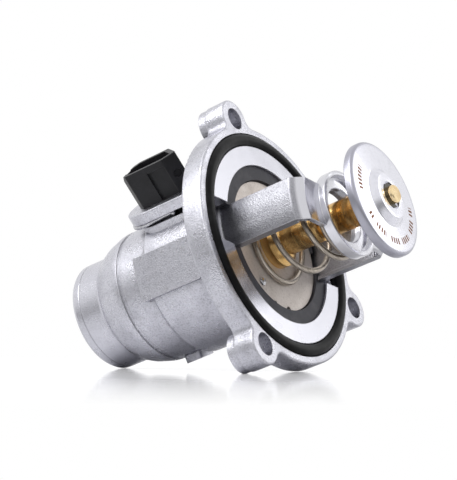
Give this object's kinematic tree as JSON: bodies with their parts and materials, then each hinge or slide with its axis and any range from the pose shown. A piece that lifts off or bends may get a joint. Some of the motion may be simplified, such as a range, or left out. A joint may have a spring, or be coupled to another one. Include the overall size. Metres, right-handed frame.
{
  "type": "engine thermostat",
  "caption": "Electrically heated coolant thermostat: flanged aluminium housing with hose neck, connector, wax element, spring bridge and bypass disc.",
  "frame": {"origin": "centre of the flange's mating face", "axes": "+X runs along the thermostat's axis from the hose neck to the bypass disc, +Z points along the connector, +Y completes a right-handed frame"},
  "size_m": [0.1071, 0.0792, 0.0823],
  "materials": {
    "housing": "satin",
    "flange_seal": "matte",
    "seat_ring": "matte",
    "bridge": "satin",
    "valve_plate": "satin",
    "element_guide": "satin",
    "element_cup": "satin",
    "elastomer_sleeve": "matte",
    "wax_charge": "matte",
    "working_piston": "satin",
    "heater_rod": "satin",
    "bypass_disc": "satin",
    "bypass_pin": "polished",
    "pin_clip": "satin",
    "bypass_spring": "satin",
    "main_spring": "satin",
    "connector_body": "matte",
    "contact_pin_left": "polished",
    "contact_pin_right": "polished",
    "lead_wire_left": "satin",
    "lead_wire_right": "satin",
    "connector_seal": "matte",
    "retaining_clip": "satin"
  },
  "bodies": {
    "base": {"housing": "housing", "flange_seal": "flange_seal", "seat_ring": "seat_ring", "bridge": "bridge", "working_piston": "working_piston", "heater_rod": "heater_rod", "main_spring": "main_spring", "connector_body": "connector_body", "contact_pin_left": "contact_pin_left", "contact_pin_right": "contact_pin_right", "lead_wire_left": "lead_wire_left", "lead_wire_right": "lead_wire_right", "connector_seal": "connector_seal", "retaining_clip": "retaining_clip"},
    "element": {"valve_plate": "valve_plate", "element_guide": "element_guide", "element_cup": "element_cup", "elastomer_sleeve": "elastomer_sleeve", "wax_charge": "wax_charge", "bypass_pin": "bypass_pin", "pin_clip": "pin_clip", "bypass_spring": "bypass_spring"},
    "bypass": {"bypass_disc": "bypass_disc"}
  },
  "joints": [
    {"name": "valve_stroke", "type": "slide", "parent": "base", "child": "element", "axis": [1, 0, 0], "range_m": [0, 0.008], "stiffness_N_per_m": 9000, "deforming": ["main_spring"]},
    {"name": "bypass_stroke", "type": "slide", "parent": "element", "child": "bypass", "axis": [-1, 0, 0], "range_m": [0, 0.0026], "stiffness_N_per_m": 2000, "deforming": ["bypass_spring"]}
  ]
}
